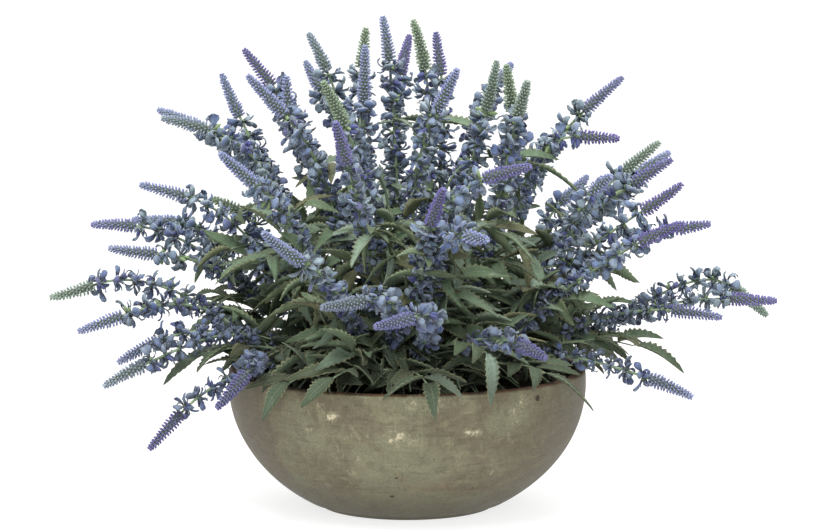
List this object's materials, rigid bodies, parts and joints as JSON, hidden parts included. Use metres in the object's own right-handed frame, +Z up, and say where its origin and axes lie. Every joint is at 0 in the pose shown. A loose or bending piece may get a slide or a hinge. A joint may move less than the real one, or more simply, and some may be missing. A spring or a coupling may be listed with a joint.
{
  "type": "potted lavender",
  "caption": "Shallow round bowl filled with soil, with arching lavender stems that end in bud spikes above a skirt of toothed compound leaves.",
  "frame": {"origin": "centre of the bowl's flat base, on the surface it stands on", "axes": "+Z up, +X to the right as seen from the front, the front of the plant towards -Y"},
  "size_m": [0.6086, 0.4851, 0.4117],
  "materials": {
    "bowl": "satin",
    "soil": "matte",
    "flowering_stem": "matte",
    "leafy_stem": "matte"
  },
  "bodies": {
    "root": {"bowl": "bowl", "soil": "soil", "flowering_stem_01": "flowering_stem", "flowering_stem_02": "flowering_stem", "flowering_stem_03": "flowering_stem", "flowering_stem_04": "flowering_stem", "flowering_stem_05": "flowering_stem", "flowering_stem_06": "flowering_stem", "flowering_stem_07": "flowering_stem", "flowering_stem_08": "flowering_stem", "flowering_stem_09": "flowering_stem", "flowering_stem_10": "flowering_stem", "flowering_stem_11": "flowering_stem", "flowering_stem_12": "flowering_stem", "flowering_stem_13": "flowering_stem", "flowering_stem_14": "flowering_stem", "flowering_stem_15": "flowering_stem", "flowering_stem_16": "flowering_stem", "flowering_stem_17": "flowering_stem", "flowering_stem_18": "flowering_stem", "flowering_stem_19": "flowering_stem", "flowering_stem_20": "flowering_stem", "flowering_stem_21": "flowering_stem", "flowering_stem_22": "flowering_stem", "flowering_stem_23": "flowering_stem", "flowering_stem_24": "flowering_stem", "flowering_stem_25": "flowering_stem", "flowering_stem_26": "flowering_stem", "flowering_stem_27": "flowering_stem", "flowering_stem_28": "flowering_stem", "flowering_stem_29": "flowering_stem", "flowering_stem_30": "flowering_stem", "flowering_stem_31": "flowering_stem", "flowering_stem_32": "flowering_stem", "flowering_stem_33": "flowering_stem", "flowering_stem_34": "flowering_stem", "flowering_stem_35": "flowering_stem", "flowering_stem_36": "flowering_stem", "flowering_stem_37": "flowering_stem", "flowering_stem_38": "flowering_stem", "flowering_stem_39": "flowering_stem", "leafy_stem_01": "leafy_stem", "leafy_stem_02": "leafy_stem", "leafy_stem_03": "leafy_stem", "leafy_stem_04": "leafy_stem", "leafy_stem_05": "leafy_stem", "leafy_stem_06": "leafy_stem", "leafy_stem_07": "leafy_stem", "leafy_stem_08": "leafy_stem", "leafy_stem_09": "leafy_stem", "leafy_stem_10": "leafy_stem", "leafy_stem_11": "leafy_stem", "leafy_stem_12": "leafy_stem", "leafy_stem_13": "leafy_stem", "leafy_stem_14": "leafy_stem", "leafy_stem_15": "leafy_stem", "leafy_stem_16": "leafy_stem", "leafy_stem_17": "leafy_stem", "leafy_stem_18": "leafy_stem", "leafy_stem_19": "leafy_stem"}
  },
  "joints": []
}
